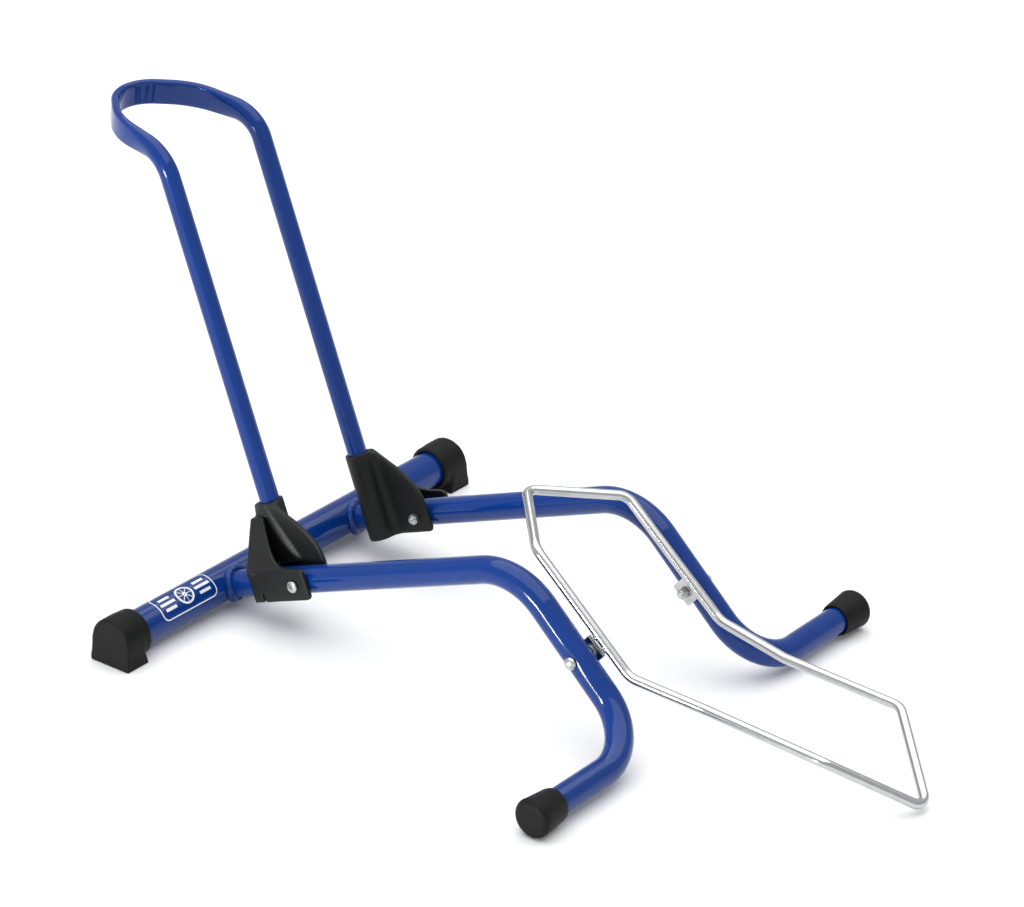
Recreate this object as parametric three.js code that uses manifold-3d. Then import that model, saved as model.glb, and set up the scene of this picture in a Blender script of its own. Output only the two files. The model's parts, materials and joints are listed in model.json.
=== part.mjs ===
// Folding floor stand that holds a bicycle by one wheel.
// Millimetres, +Z up, +X towards the side where the wheel rolls in, Y across the stand.
// The crossbar runs along Y at the back. Two side tubes rise from it and bend down to two feet.
// A tall hoop folds on brackets over the side tubes, and a wire cradle rocks between them.
import * as THREE from "three";
import { ConvexGeometry } from "three/addons/geometries/ConvexGeometry.js";
import { mergeVertices } from "three/addons/utils/BufferGeometryUtils.js";
import Module from "manifold-3d";

const wasm = await Module();
wasm.setup();

// Clearances
const GAP = 0.3; // between a piece and the neighbour it rests on
const HOLE_GAP = 0.3; // radial, round a bolt

// Crossbar and rear feet
const CROSSBAR_R = 15;
const CROSSBAR_WALL = 1.5;
const CROSSBAR_Z = 19.3;
const REAR_FOOT_END_Y = 210;
const REAR_FOOT_SKIN = 3.3; // end wall of the rubber
const REAR_FOOT_SLEEVE_R = 19.3;
const REAR_FOOT_SLEEVE_LENGTH = 30.5;
const REAR_FOOT_BLOCK = { innerY: 186, innerTopY: 189.5, innerTopZ: 14, outerTopY: 207.8, halfWidth: 19.8 };
const CROSSBAR_HALF = REAR_FOOT_END_Y - REAR_FOOT_SKIN - 2 * GAP;

// Side tubes
const SIDE_R = 11;
const SIDE_WALL = 1.5;
const SIDE_Y = 74.6;
const SIDE_START_Z = 16.6; // the tube's axis under the crossbar's, where the two meet
const SIDE_RISE = THREE.MathUtils.degToRad(20.6); // climb from the crossbar
const SHOULDER = { x: 297, r: 57 }; // the bend at the top
const FRONT_FOOT = { x: 415, z: 15.7, r: 47 }; // the bend outwards into the foot
const FRONT_CAP = { rimY: 178.5, endY: 209, rimR: 13.4, endR: 15.7, edgeR: 3.5, skin: 3.3 };
const WELD_LEG = 2.4;

// Hoop, measured in the frame of its pivot: U along the side tube, V across it
const PIVOT_ALONG = 92.4; // from the crossbar's axis to the pivot, along the side tube
const HOOP_R = 8;
const HOOP_WALL = 1.2;
const HOOP_Y = 53.4;
const HOOP_BEHIND = 36.3; // uprights lie this far behind the pivot
const HOOP_FOOT_V = -8;
const HOOP_KNEE_V = 347;
const HOOP_KNEE_R = 32;
const HOOP_TOP_TURN = THREE.MathUtils.degToRad(62.5); // how far the top leans back from the uprights
const HOOP_CORNER = { reach: 58, y: 45, r: 58 };
const HOOP_BACK = { reach: 104.5, r: 34 };
const BAND_HALF_HEIGHT = 10.74; // the top is pressed flat into a band
const BAND_HALF_THICKNESS = 3.2;
const PRESSED = { from: -0.3, to: 1.05 }; // where the pressing starts and ends, in reaches of the corner

// Brackets, in the same frame
const SLEEVE_R = 10.6;
const SLEEVE_TOP_V = 61;
const BRACKET_FOOT_V = -12.5;
const SLEEVE_FLOOR = 4;
const WEB_INNER_Y = 59.9;
const SHELL = { outerY: 89.9, thickness: 4, kneeV: 15, topY: 69, topV: 51, rearU: -48 };
const REAR_WALL = 8;
const LATCH_SLOT = { u: -36.8, width: 2, top: -4.3 };
const FLARE = { topV: 60.5, footV: 6, footU: -22.5, footY: 51, halfU: 26, halfY: 16 };
const SADDLE = { topY: 61.5, footY: 63.5, footV: 47 }; // the corner from the socket to the rear wall
const FILLET = { u: -18.8, r: 7 }; // between the socket and the web's inner face

// Cradle: corners of the wire loop, in the stand's own frame
const WIRE_R = 4;
const CRADLE_CORNERS = {
  rearTip: { x: 247, y: 0, z: 149, r: 9 },
  rearSide: { x: 301, y: 56.5, z: 138, r: 14 },
  knee: { x: 391, y: 57.2, z: 59, r: 20 },
  waist: { x: 456, y: 50.5, z: 51.5, r: 30 },
  frontSide: { x: 561, y: 51.5, z: 46, r: 13 },
  frontTip: { x: 621, y: 0, z: WIRE_R, r: 9 },
};
const CRADLE_PIVOT_X = 356.5;
const TAB = { innerY: 58.2, outerY: 61.2, halfLength: 9.8, below: 6.6, above: 8, cornerR: 2 };

// Fasteners: shank radius, head radius and height, hexagon across flats, nut height
const M5_PAN = { shankR: 2.5, headR: 4.9, headH: 3, flats: 8, nutH: 4, collarH: 1.4 };
const M5_DOME = { shankR: 2.5, headR: 5.3, headH: 3.4, flats: 8, nutH: 4.4, collarH: 1.4 };
const WASHER = { innerR: 2.8, outerR: 6, thickness: 1.6 };

const BLUE = { color: 0x2a3f97, roughness: 0.3, metalness: 0.1 };
const BLACK_PLASTIC = { color: 0x1e1f1e, roughness: 0.5, metalness: 0 };
const BLACK_RUBBER = { color: 0x2b2b29, roughness: 0.8, metalness: 0 };
const CHROME = { color: 0xd8dadb, roughness: 0.12, metalness: 1 };
const ZINC = { color: 0xb9bcbc, roughness: 0.35, metalness: 1 };

const vec = (x, y, z) => new THREE.Vector3(x, y, z);

// ---- Solids -------------------------------------------------------------------------------------

function solid(geometry) {
  const bare = geometry.index ? geometry.toNonIndexed() : geometry.clone();
  bare.deleteAttribute("normal");
  bare.deleteAttribute("uv");
  const merged = mergeVertices(bare, 1e-4);
  return new wasm.Manifold(
    new wasm.Mesh({
      numProp: 3,
      vertProperties: merged.attributes.position.array,
      triVerts: new Uint32Array(merged.index.array),
    }),
  );
}

function geometryOf(body) {
  const mesh = body.getMesh();
  const geometry = new THREE.BufferGeometry();
  geometry.setAttribute("position", new THREE.BufferAttribute(mesh.vertProperties, 3));
  geometry.setIndex(new THREE.BufferAttribute(mesh.triVerts, 1));
  const flat = geometry.toNonIndexed();
  flat.computeVertexNormals();
  return flat;
}

// A round bar along Y from y0 to y1, centred on (x, z).
function barAlongY(radius, y0, y1, x, z, segments = 32) {
  const bar = new THREE.CylinderGeometry(radius, radius, y1 - y0, segments);
  bar.translate(x, (y0 + y1) / 2, z);
  return bar;
}

// A box between two corners.
function block(x0, x1, y0, y1, z0, z1) {
  const box = new THREE.BoxGeometry(x1 - x0, y1 - y0, z1 - z0);
  box.translate((x0 + x1) / 2, (y0 + y1) / 2, (z0 + z1) / 2);
  return box;
}

// An outline drawn in X and Z, as thick as y0 to y1.
function plateAcrossY(shape, y0, y1) {
  const plate = new THREE.ExtrudeGeometry(shape, { depth: y1 - y0, bevelEnabled: false, curveSegments: 10 });
  plate.rotateX(Math.PI / 2);
  plate.translate(0, y1, 0);
  return plate;
}

// An outline drawn in Y and Z, as long as x0 to x1.
function barAlongX(shape, x0, x1) {
  const bar = new THREE.ExtrudeGeometry(shape, { depth: x1 - x0, bevelEnabled: false });
  bar.rotateY(Math.PI / 2);
  bar.rotateX(Math.PI / 2);
  bar.translate(x0, 0, 0);
  return bar;
}

function outline(points) {
  return new THREE.Shape(points.map(([x, y]) => new THREE.Vector2(x, y)));
}

// ---- Bent tubes ---------------------------------------------------------------------------------

// A path of straight runs joined by round bends, with one station at each end of a bend and along it.
class BentPath extends THREE.Curve {
  constructor(corners, degreesPerStation) {
    super();
    this.stations = [corners[0].clone()];
    this.tangents = [corners[1].clone().sub(corners[0]).normalize()];
    for (let i = 1; i < corners.length - 1; i++) this.addBend(corners, i, degreesPerStation);
    const last = corners.at(-1);
    this.stations.push(last.clone());
    this.tangents.push(last.clone().sub(corners.at(-2)).normalize());
  }

  addBend(corners, i, degreesPerStation) {
    const into = corners[i].clone().sub(corners[i - 1]).normalize();
    const out = corners[i + 1].clone().sub(corners[i]).normalize();
    const turn = into.angleTo(out);
    const setback = corners[i].r * Math.tan(turn / 2);
    const start = corners[i].clone().addScaledVector(into, -setback);
    const inward = out.clone().addScaledVector(into, -out.dot(into)).normalize();
    const steps = Math.max(2, Math.ceil(THREE.MathUtils.radToDeg(turn) / degreesPerStation));
    for (let k = 0; k <= steps; k++) {
      const a = (turn * k) / steps;
      const point = start.clone();
      point.addScaledVector(into, corners[i].r * Math.sin(a));
      point.addScaledVector(inward, corners[i].r * (1 - Math.cos(a)));
      this.stations.push(point);
      this.tangents.push(into.clone().multiplyScalar(Math.cos(a)).addScaledVector(inward, Math.sin(a)));
    }
  }

  get steps() {
    return this.stations.length - 1;
  }

  between(list, t) {
    const at = Math.min(t * this.steps, this.steps);
    const i = Math.min(Math.floor(at + 1e-9), this.steps - 1);
    return list[i].clone().lerp(list[i + 1], at - i);
  }

  getPoint(t) {
    return this.between(this.stations, t);
  }

  getPointAt(u) {
    return this.getPoint(u);
  }

  getTangentAt(u) {
    return this.between(this.tangents, u).normalize();
  }
}

function corner(x, y, z, r = 0) {
  const point = vec(x, y, z);
  point.r = r;
  return point;
}

// A tube, or a solid wire where wall is 0, along a bent path.
function tubeAlong(path, radius, wall, curveSegments) {
  const section = new THREE.Shape();
  section.absarc(0, 0, radius, 0, 2 * Math.PI);
  if (wall > 0) {
    const bore = new THREE.Path();
    bore.absarc(0, 0, radius - wall, 0, 2 * Math.PI);
    section.holes.push(bore);
  }
  return new THREE.ExtrudeGeometry(section, { steps: path.steps, extrudePath: path, curveSegments });
}

// ---- Side tube geometry -------------------------------------------------------------------------

const along = vec(Math.cos(SIDE_RISE), 0, Math.sin(SIDE_RISE));
const shoulder = vec(SHOULDER.x, SIDE_Y, SIDE_START_Z + SHOULDER.x * Math.tan(SIDE_RISE));
const frontBend = vec(FRONT_FOOT.x, SIDE_Y, FRONT_FOOT.z);
const downward = frontBend.clone().sub(shoulder).normalize();
const hoopPivot = vec(0, 0, SIDE_START_Z).addScaledVector(along, PIVOT_ALONG);
const cradlePivot = vec(CRADLE_PIVOT_X, 0, 0);
cradlePivot.z = shoulder.z + ((CRADLE_PIVOT_X - shoulder.x) * downward.z) / downward.x;

// ---- Pieces -------------------------------------------------------------------------------------

function crossbar() {
  const bar = solid(barAlongY(CROSSBAR_R, -CROSSBAR_HALF, CROSSBAR_HALF, 0, CROSSBAR_Z));
  const bore = barAlongY(CROSSBAR_R - CROSSBAR_WALL, -REAR_FOOT_END_Y, REAR_FOOT_END_Y, 0, CROSSBAR_Z, 20);
  return geometryOf(bar.subtract(solid(bore)));
}

// A block whose two ends slope, rounded over the bar, and the sleeve that grips it.
function rearFoot() {
  const { innerY, innerTopY, innerTopZ, outerTopY, halfWidth } = REAR_FOOT_BLOCK;
  const arch = new THREE.Shape();
  arch.moveTo(-halfWidth, 0);
  arch.lineTo(halfWidth, 0);
  arch.lineTo(halfWidth, CROSSBAR_Z);
  arch.absarc(0, CROSSBAR_Z, halfWidth, 0, Math.PI, false);
  arch.closePath();
  const top = CROSSBAR_Z + halfWidth;
  const sideView = outline([
    [innerY, 0],
    [REAR_FOOT_END_Y, 0],
    [outerTopY, top],
    [innerTopY, top],
    [innerTopY, innerTopZ],
  ]);
  const sleeveStart = REAR_FOOT_END_Y - REAR_FOOT_SLEEVE_LENGTH;
  const sleeve = barAlongY(REAR_FOOT_SLEEVE_R, sleeveStart, outerTopY - 1, 0, CROSSBAR_Z);
  const socket = barAlongY(CROSSBAR_R + GAP, sleeveStart - 1, CROSSBAR_HALF + GAP, 0, CROSSBAR_Z);
  const block = solid(plateAcrossY(arch, innerY - 1, REAR_FOOT_END_Y + 1)).intersect(
    solid(barAlongX(sideView, -2 * halfWidth, 2 * halfWidth)),
  );
  return geometryOf(block.add(solid(sleeve)).subtract(solid(socket)));
}

function sideTubePath() {
  const end = FRONT_CAP.endY - FRONT_CAP.skin - GAP;
  const corners = [
    corner(0, SIDE_Y, SIDE_START_Z),
    corner(shoulder.x, SIDE_Y, shoulder.z, SHOULDER.r),
    corner(frontBend.x, SIDE_Y, frontBend.z, FRONT_FOOT.r),
    corner(frontBend.x, end, frontBend.z),
  ];
  return new BentPath(corners, 11);
}

function sideTube() {
  let tube = solid(tubeAlong(sideTubePath(), SIDE_R, SIDE_WALL, 10));
  tube = tube.subtract(solid(barAlongY(CROSSBAR_R + GAP, 0, 2 * SIDE_Y, 0, CROSSBAR_Z)));
  const drill = (bolt, at) => barAlongY(bolt.shankR + HOLE_GAP, 0, 2 * SIDE_Y, at.x, at.z, 20);
  tube = tube.subtract(solid(drill(M5_PAN, hoopPivot)));
  tube = tube.subtract(solid(drill(M5_DOME, cradlePivot)));
  return geometryOf(tube);
}

// A round bar along the rising part of the side tube.
function barAlongSide(radius, from, to) {
  const bar = new THREE.CylinderGeometry(radius, radius, to - from, 32);
  bar.rotateZ(-Math.PI / 2);
  bar.translate((from + to) / 2, 0, 0);
  bar.rotateY(-SIDE_RISE);
  bar.translate(0, SIDE_Y, SIDE_START_Z);
  return bar;
}

// The weld fills the corner all round the side tube where it meets the crossbar.
function sideTubeWeld() {
  const reach = 2 * CROSSBAR_R;
  const wide = solid(barAlongSide(SIDE_R + GAP + WELD_LEG, 0, reach));
  const collar = barAlongY(CROSSBAR_R + GAP + WELD_LEG, SIDE_Y - reach, SIDE_Y + reach, 0, CROSSBAR_Z);
  const bead = wide.intersect(solid(collar)).subtract(solid(barAlongSide(SIDE_R + GAP, -1, reach)));
  return geometryOf(bead.subtract(solid(barAlongY(CROSSBAR_R + GAP, 0, 2 * SIDE_Y, 0, CROSSBAR_Z))));
}

function frontCap() {
  const { rimY, endY, rimR, endR, edgeR, skin } = FRONT_CAP;
  const profile = new THREE.Path();
  profile.moveTo(0, endY - skin);
  profile.lineTo(SIDE_R + GAP, endY - skin);
  profile.lineTo(SIDE_R + GAP, rimY);
  profile.lineTo(rimR, rimY);
  profile.lineTo(endR, endY - 2 * edgeR);
  profile.lineTo(endR, endY - edgeR);
  profile.absarc(endR - edgeR, endY - edgeR, edgeR, 0, Math.PI / 2, false);
  profile.lineTo(0, endY);
  const points = profile.getPoints(4).map((p) => new THREE.Vector2(Math.max(p.x, 0), p.y));
  const cap = new THREE.LatheGeometry(points, 28);
  cap.translate(frontBend.x, 0, frontBend.z);
  return cap;
}

// ---- Hoop and brackets, in the frame of their pivot ---------------------------------------------

const topDirection = vec(-Math.sin(HOOP_TOP_TURN), 0, Math.cos(HOOP_TOP_TURN));
const knee = vec(-HOOP_BEHIND, 0, HOOP_KNEE_V);

function hoopPath() {
  const onTop = (reach, y, r) => {
    const point = knee.clone().addScaledVector(topDirection, reach);
    return corner(point.x, y, point.z, r);
  };
  const half = (side) => [
    corner(-HOOP_BEHIND, side * HOOP_Y, HOOP_FOOT_V),
    corner(knee.x, side * HOOP_Y, knee.z, HOOP_KNEE_R),
    onTop(HOOP_CORNER.reach, side * HOOP_CORNER.y, HOOP_CORNER.r),
  ];
  const back = onTop(HOOP_BACK.reach, 0, HOOP_BACK.r);
  return new BentPath([...half(-1), back, ...half(1).reverse()], 10);
}

// Where a point of a round section goes when the tube is pressed flat, keeping its girth.
// height and depth are measured from the tube's axis, height along the band.
function pressedFlat(height, depth) {
  const radius = Math.hypot(height, depth);
  const edgeR = BAND_HALF_THICKNESS - (HOOP_R - radius);
  const flat = BAND_HALF_HEIGHT - BAND_HALF_THICKNESS;
  const girth = radius * Math.atan2(Math.abs(depth), Math.abs(height));
  const edgeGirth = (edgeR * Math.PI) / 2;
  const onEdge = girth < edgeGirth;
  const a = onEdge ? flat + edgeR * Math.cos(girth / edgeR) : flat - (girth - edgeGirth);
  const b = onEdge ? edgeR * Math.sin(girth / edgeR) : edgeR;
  return [Math.sign(height) * Math.max(a, 0), Math.sign(depth) * b];
}

function hoop() {
  const path = hoopPath();
  const geometry = tubeAlong(path, HOOP_R, HOOP_WALL, 9);
  const position = geometry.attributes.position;
  const upright = vec(0, 0, 1);
  const reachOf = (point) => point.clone().sub(knee).dot(topDirection);
  const acrossTop = upright.clone().addScaledVector(topDirection, -upright.dot(topDirection)).normalize();
  for (let i = 0; i < position.count; i++) {
    const vertex = new THREE.Vector3().fromBufferAttribute(position, i);
    const station = nearestStation(path, vertex);
    const centre = path.stations[station];
    const tangent = path.tangents[station];
    const reach = reachOf(centre) / HOOP_CORNER.reach;
    const weight = THREE.MathUtils.smoothstep(reach, PRESSED.from, PRESSED.to);
    if (centre.z < knee.z - HOOP_KNEE_R) continue;
    const heightAxis = acrossTop.clone().addScaledVector(tangent, -acrossTop.dot(tangent)).normalize();
    const depthAxis = tangent.clone().cross(heightAxis);
    const offset = vertex.clone().sub(centre);
    const height = offset.dot(heightAxis);
    const depth = offset.dot(depthAxis);
    const [flatHeight, flatDepth] = pressedFlat(height, depth);
    const moved = centre.clone();
    moved.addScaledVector(heightAxis, THREE.MathUtils.lerp(height, flatHeight, weight));
    moved.addScaledVector(depthAxis, THREE.MathUtils.lerp(depth, flatDepth, weight));
    position.setXYZ(i, moved.x, moved.y, moved.z);
  }
  return geometry;
}

// The station whose cross-section holds the vertex.
function nearestStation(path, vertex) {
  let best = 0;
  let bestError = Infinity;
  path.stations.forEach((point, i) => {
    const offset = vertex.clone().sub(point);
    const error = Math.abs(offset.dot(path.tangents[i]));
    if (offset.length() < HOOP_R + 0.1 && error < bestError) {
      best = i;
      bestError = error;
    }
  });
  return best;
}

// The flat web on the wheel's side: it reaches forward from the sleeve to the pivot bolt.
function webShape() {
  const shape = new THREE.Shape();
  shape.moveTo(-HOOP_BEHIND, BRACKET_FOOT_V);
  shape.lineTo(10, BRACKET_FOOT_V);
  shape.quadraticCurveTo(14.8, BRACKET_FOOT_V, 14.3, -6.5);
  shape.lineTo(13.3, 10);
  shape.quadraticCurveTo(12.7, 19.5, 8.6, 26.5);
  shape.quadraticCurveTo(4, 34, -4.5, 42.5);
  shape.lineTo(-27, SLEEVE_TOP_V);
  shape.lineTo(-HOOP_BEHIND, SLEEVE_TOP_V);
  return shape;
}

// The outer cheek: a plate beside the side tube that sweeps up into a narrow wing behind it.
function cheekShape() {
  const shape = new THREE.Shape();
  shape.moveTo(SHELL.rearU, BRACKET_FOOT_V);
  shape.lineTo(9.3, BRACKET_FOOT_V);
  shape.quadraticCurveTo(14.2, BRACKET_FOOT_V, 13.8, -7.5);
  shape.lineTo(13.1, 8.8);
  shape.quadraticCurveTo(12.7, 13.2, 8, 13.3);
  shape.lineTo(-4, 14.3);
  shape.bezierCurveTo(-20.5, 16, -26, 31, -35, SHELL.topV);
  shape.lineTo(SHELL.rearU, SHELL.topV);
  return shape;
}

// The web's outline, taken back to the rear wall.
function flareLimit() {
  const shape = webShape();
  shape.lineTo(SHELL.rearU, SLEEVE_TOP_V);
  shape.lineTo(SHELL.rearU, BRACKET_FOOT_V);
  return shape;
}

function ellipseAt(v, u, y, halfU, halfY) {
  const ring = [];
  for (let i = 0; i < 32; i++) {
    const a = (i * Math.PI) / 16;
    ring.push(vec(u + halfU * Math.cos(a), y + halfY * Math.sin(a), v));
  }
  return ring;
}

// Outside the web, the collar round the hoop's tube widens like a cone down to the side tube.
function flare() {
  const { topV, footV, footU, footY, halfU, halfY } = FLARE;
  const collar = ellipseAt(topV, -HOOP_BEHIND, HOOP_Y, SLEEVE_R, SLEEVE_R);
  const foot = ellipseAt(footV, footU, footY, halfU, halfY);
  const limit = plateAcrossY(flareLimit(), WEB_INNER_Y, SHELL.outerY);
  const rear = [vec(SHELL.rearU, SADDLE.footY, footV), vec(SHELL.rearU, SADDLE.footY, SADDLE.footV)];
  return solid(new ConvexGeometry([...collar, ...foot, ...rear])).intersect(solid(limit));
}

// Behind the upright the socket is squared off and runs down into the rear wall.
function saddle() {
  const { topY, footY, footV } = SADDLE;
  const { rearU } = SHELL;
  const collar = ellipseAt(FLARE.topV, -HOOP_BEHIND, HOOP_Y, SLEEVE_R, SLEEVE_R);
  const top = [vec(rearU + 1, HOOP_Y, FLARE.topV), vec(rearU + 1, topY, FLARE.topV)];
  const rear = [vec(rearU, HOOP_Y, footV), vec(rearU, footY, footV)];
  const front = [vec(-HOOP_BEHIND, HOOP_Y, footV), vec(-HOOP_BEHIND, footY, footV)];
  return solid(new ConvexGeometry([...collar, ...top, ...rear, ...front]));
}

function fillet() {
  const { u, r } = FILLET;
  const limit = solid(plateAcrossY(flareLimit(), HOOP_Y, WEB_INNER_Y + GAP));
  const corner = block(-HOOP_BEHIND, u, HOOP_Y - 1, WEB_INNER_Y + 1, BRACKET_FOOT_V - 1, SLEEVE_TOP_V + 1);
  const round = new THREE.CylinderGeometry(r, r, 100, 36);
  round.rotateX(Math.PI / 2);
  round.translate(u, WEB_INNER_Y - r, (SLEEVE_TOP_V + BRACKET_FOOT_V) / 2);
  return limit.intersect(solid(corner)).subtract(solid(round));
}

function bracket() {
  const { outerY, thickness, kneeV, topY, topV, rearU } = SHELL;
  const sleeve = new THREE.CylinderGeometry(SLEEVE_R, SLEEVE_R, SLEEVE_TOP_V - BRACKET_FOOT_V, 32);
  sleeve.rotateX(Math.PI / 2);
  sleeve.translate(-HOOP_BEHIND, HOOP_Y, (SLEEVE_TOP_V + BRACKET_FOOT_V) / 2);
  const webOuterY = SIDE_Y - SIDE_R - GAP;
  const web = plateAcrossY(webShape(), WEB_INNER_Y, webOuterY);

  const bentSheet = outline([
    [outerY, BRACKET_FOOT_V],
    [outerY, kneeV],
    [topY, topV],
    [topY - thickness, topV],
    [outerY - thickness, kneeV],
    [outerY - thickness, BRACKET_FOOT_V],
  ]);
  const cheek = solid(barAlongX(bentSheet, rearU, 20)).intersect(
    solid(plateAcrossY(cheekShape(), 0, 2 * outerY)),
  );
  const stopV = SIDE_R;
  const slope = (outerY - topY) / (topV - kneeV);
  const wall = outline([
    [HOOP_Y, stopV],
    [outerY - slope * (stopV - kneeV) - 1, stopV],
    [topY - 1, topV],
    [HOOP_Y, topV],
  ]);
  const rearWall = barAlongX(wall, rearU, rearU + REAR_WALL);

  const bore = new THREE.CylinderGeometry(HOOP_R + GAP, HOOP_R + GAP, 100, 24);
  bore.rotateX(Math.PI / 2);
  bore.translate(-HOOP_BEHIND, HOOP_Y, 50 + BRACKET_FOOT_V + SLEEVE_FLOOR);
  const tubeRoom = new THREE.CylinderGeometry(SIDE_R + GAP, SIDE_R + GAP, 200, 32);
  tubeRoom.rotateZ(Math.PI / 2);
  tubeRoom.translate(0, SIDE_Y, 0);
  const swingRoom = block(rearU - 1, 0, webOuterY, SIDE_Y, BRACKET_FOOT_V - 1, SIDE_R);
  const boltHole = barAlongY(M5_PAN.shankR + HOLE_GAP, 0, 2 * outerY, 0, 0, 20);
  const slot = block(
    LATCH_SLOT.u - LATCH_SLOT.width / 2,
    LATCH_SLOT.u + LATCH_SLOT.width / 2,
    SIDE_Y,
    outerY + 1,
    BRACKET_FOOT_V - 1,
    LATCH_SLOT.top,
  );
  const mouldings = [cheek, flare(), saddle(), fillet(), solid(web), solid(rearWall)];
  const added = mouldings.reduce((body, moulding) => body.add(moulding), solid(sleeve));
  const cuts = [bore, tubeRoom, swingRoom, boltHole, slot];
  return geometryOf(cuts.reduce((body, g) => body.subtract(solid(g)), added));
}

// ---- Cradle -------------------------------------------------------------------------------------

function cradleCorners() {
  const { rearTip, rearSide, knee, waist, frontSide, frontTip } = CRADLE_CORNERS;
  const at = (c, side = 1) => corner(c.x, side * c.y, c.z, c.r);
  const left = [rearSide, knee, waist, frontSide].map((c) => at(c));
  const right = [frontSide, waist, knee, rearSide].map((c) => at(c, -1));
  return [at(rearTip), ...left, at(frontTip), ...right, at(rearTip)];
}

// The loop opens in the middle of its rear right run, and a butt weld closes it there.
function cradleWire() {
  const corners = cradleCorners();
  const tip = corners[0];
  const joint = tip.clone().lerp(corners.at(-2), 0.5);
  const towardsTip = tip.clone().sub(joint).normalize();
  const start = joint.clone().addScaledVector(towardsTip, GAP);
  const path = new BentPath([start, ...corners.slice(0, -1), joint], 15);
  const wire = solid(tubeAlong(path, WIRE_R, 0, 7));
  const butt = new THREE.CylinderGeometry(WIRE_R, WIRE_R, 2, 14);
  butt.applyQuaternion(new THREE.Quaternion().setFromUnitVectors(vec(0, 1, 0), towardsTip));
  butt.translate(joint.x, joint.y, joint.z);
  return geometryOf(wire.add(solid(butt)));
}

// A flat lug under the wire, drilled for the pivot bolt. Its long side lies along the wire.
function cradleTab() {
  const { innerY, outerY, halfLength, below, above, cornerR } = TAB;
  const lug = new THREE.Shape();
  lug.moveTo(-halfLength, above);
  lug.lineTo(-halfLength, -below + cornerR);
  lug.quadraticCurveTo(-halfLength, -below, -halfLength + cornerR, -below);
  lug.lineTo(halfLength - cornerR, -below);
  lug.quadraticCurveTo(halfLength, -below, halfLength, -below + cornerR);
  lug.lineTo(halfLength, above);
  const plate = plateAcrossY(lug, innerY, outerY);
  const { rearSide, knee } = CRADLE_CORNERS;
  plate.rotateY(Math.atan2(rearSide.z - knee.z, knee.x - rearSide.x));
  plate.translate(cradlePivot.x, 0, cradlePivot.z);
  const hole = barAlongY(M5_DOME.shankR + HOLE_GAP, 0, 2 * outerY, cradlePivot.x, cradlePivot.z, 20);
  return geometryOf(solid(plate).subtract(solid(hole)));
}

// ---- Fasteners ----------------------------------------------------------------------------------

// A round-headed bolt along Y: its head sits outside headY and its shank ends at endY.
function bolt({ shankR, headR, headH }, headY, endY) {
  const profile = [new THREE.Vector2(0, endY), new THREE.Vector2(shankR, endY)];
  profile.push(new THREE.Vector2(shankR, headY), new THREE.Vector2(headR, headY));
  for (let i = 0; i <= 4; i++) {
    const a = (i * Math.PI) / 8;
    profile.push(new THREE.Vector2(headR * Math.cos(a), headY + 0.8 + (headH - 0.8) * Math.sin(a)));
  }
  profile[profile.length - 1].x = 0;
  return new THREE.LatheGeometry(profile, 20);
}

// A locking nut along Y, from y1 down to its nylon collar.
function lockNut({ shankR, flats, nutH, collarH }, y1) {
  const hexagon = new THREE.CylinderGeometry(flats / Math.sqrt(3), flats / Math.sqrt(3), nutH, 6);
  hexagon.translate(0, y1 - nutH / 2, 0);
  const collar = barAlongY(0.45 * flats, y1 - nutH - collarH, y1 - nutH / 2, 0, 0, 20);
  const hole = barAlongY(shankR + GAP, y1 - 2 * nutH, y1 + nutH, 0, 0, 20);
  return geometryOf(solid(hexagon).add(solid(collar)).subtract(solid(hole)));
}

function washer({ innerR, outerR, thickness }, y1) {
  const ring = [
    [innerR, y1 - thickness],
    [outerR, y1 - thickness],
    [outerR, y1],
    [innerR, y1],
    [innerR, y1 - thickness],
  ];
  return new THREE.LatheGeometry(ring.map(([x, y]) => new THREE.Vector2(x, y)), 24);
}

// ---- Assembly -----------------------------------------------------------------------------------

function piece(name, geometry, look) {
  const mesh = new THREE.Mesh(geometry, new THREE.MeshStandardMaterial(look));
  mesh.name = name;
  return mesh;
}

function movedTo(mesh, point) {
  mesh.position.copy(point);
  return mesh;
}

// Pieces fixed to the frame on one side.
function sideOfFrame(side) {
  const bracketBolt = bolt(M5_PAN, SHELL.outerY + GAP, WEB_INNER_Y - M5_PAN.nutH - M5_PAN.collarH - 1.5);
  const bracketNut = lockNut(M5_PAN, WEB_INNER_Y - GAP);
  const boltEnd = TAB.innerY - M5_DOME.nutH - M5_DOME.collarH - 1.5;
  const cradleBolt = bolt(M5_DOME, SIDE_Y + SIDE_R + GAP, boltEnd);
  const cradleNut = lockNut(M5_DOME, TAB.innerY - GAP);
  const cradleWasher = washer(WASHER, SIDE_Y - SIDE_R - GAP);
  return [
    piece(`rear_foot_${side}`, rearFoot(), BLACK_RUBBER),
    piece(`side_tube_${side}`, sideTube(), BLUE),
    piece(`side_tube_weld_${side}`, sideTubeWeld(), BLUE),
    piece(`front_cap_${side}`, frontCap(), BLACK_RUBBER),
    movedTo(piece(`bracket_bolt_${side}`, bracketBolt, ZINC), hoopPivot),
    movedTo(piece(`bracket_nut_${side}`, bracketNut, ZINC), hoopPivot),
    movedTo(piece(`cradle_bolt_${side}`, cradleBolt, ZINC), cradlePivot),
    movedTo(piece(`cradle_washer_${side}`, cradleWasher, ZINC), cradlePivot),
    movedTo(piece(`cradle_nut_${side}`, cradleNut, ZINC), cradlePivot),
    piece(`cradle_tab_${side}`, cradleTab(), CHROME),
  ];
}

const stand = new THREE.Group();
stand.add(piece("crossbar", crossbar(), BLUE));
stand.add(piece("cradle_wire", cradleWire(), CHROME));

const foldingHoop = new THREE.Group();
foldingHoop.position.copy(hoopPivot);
foldingHoop.rotation.y = -SIDE_RISE;
foldingHoop.add(piece("hoop", hoop(), BLUE));
stand.add(foldingHoop);

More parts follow.
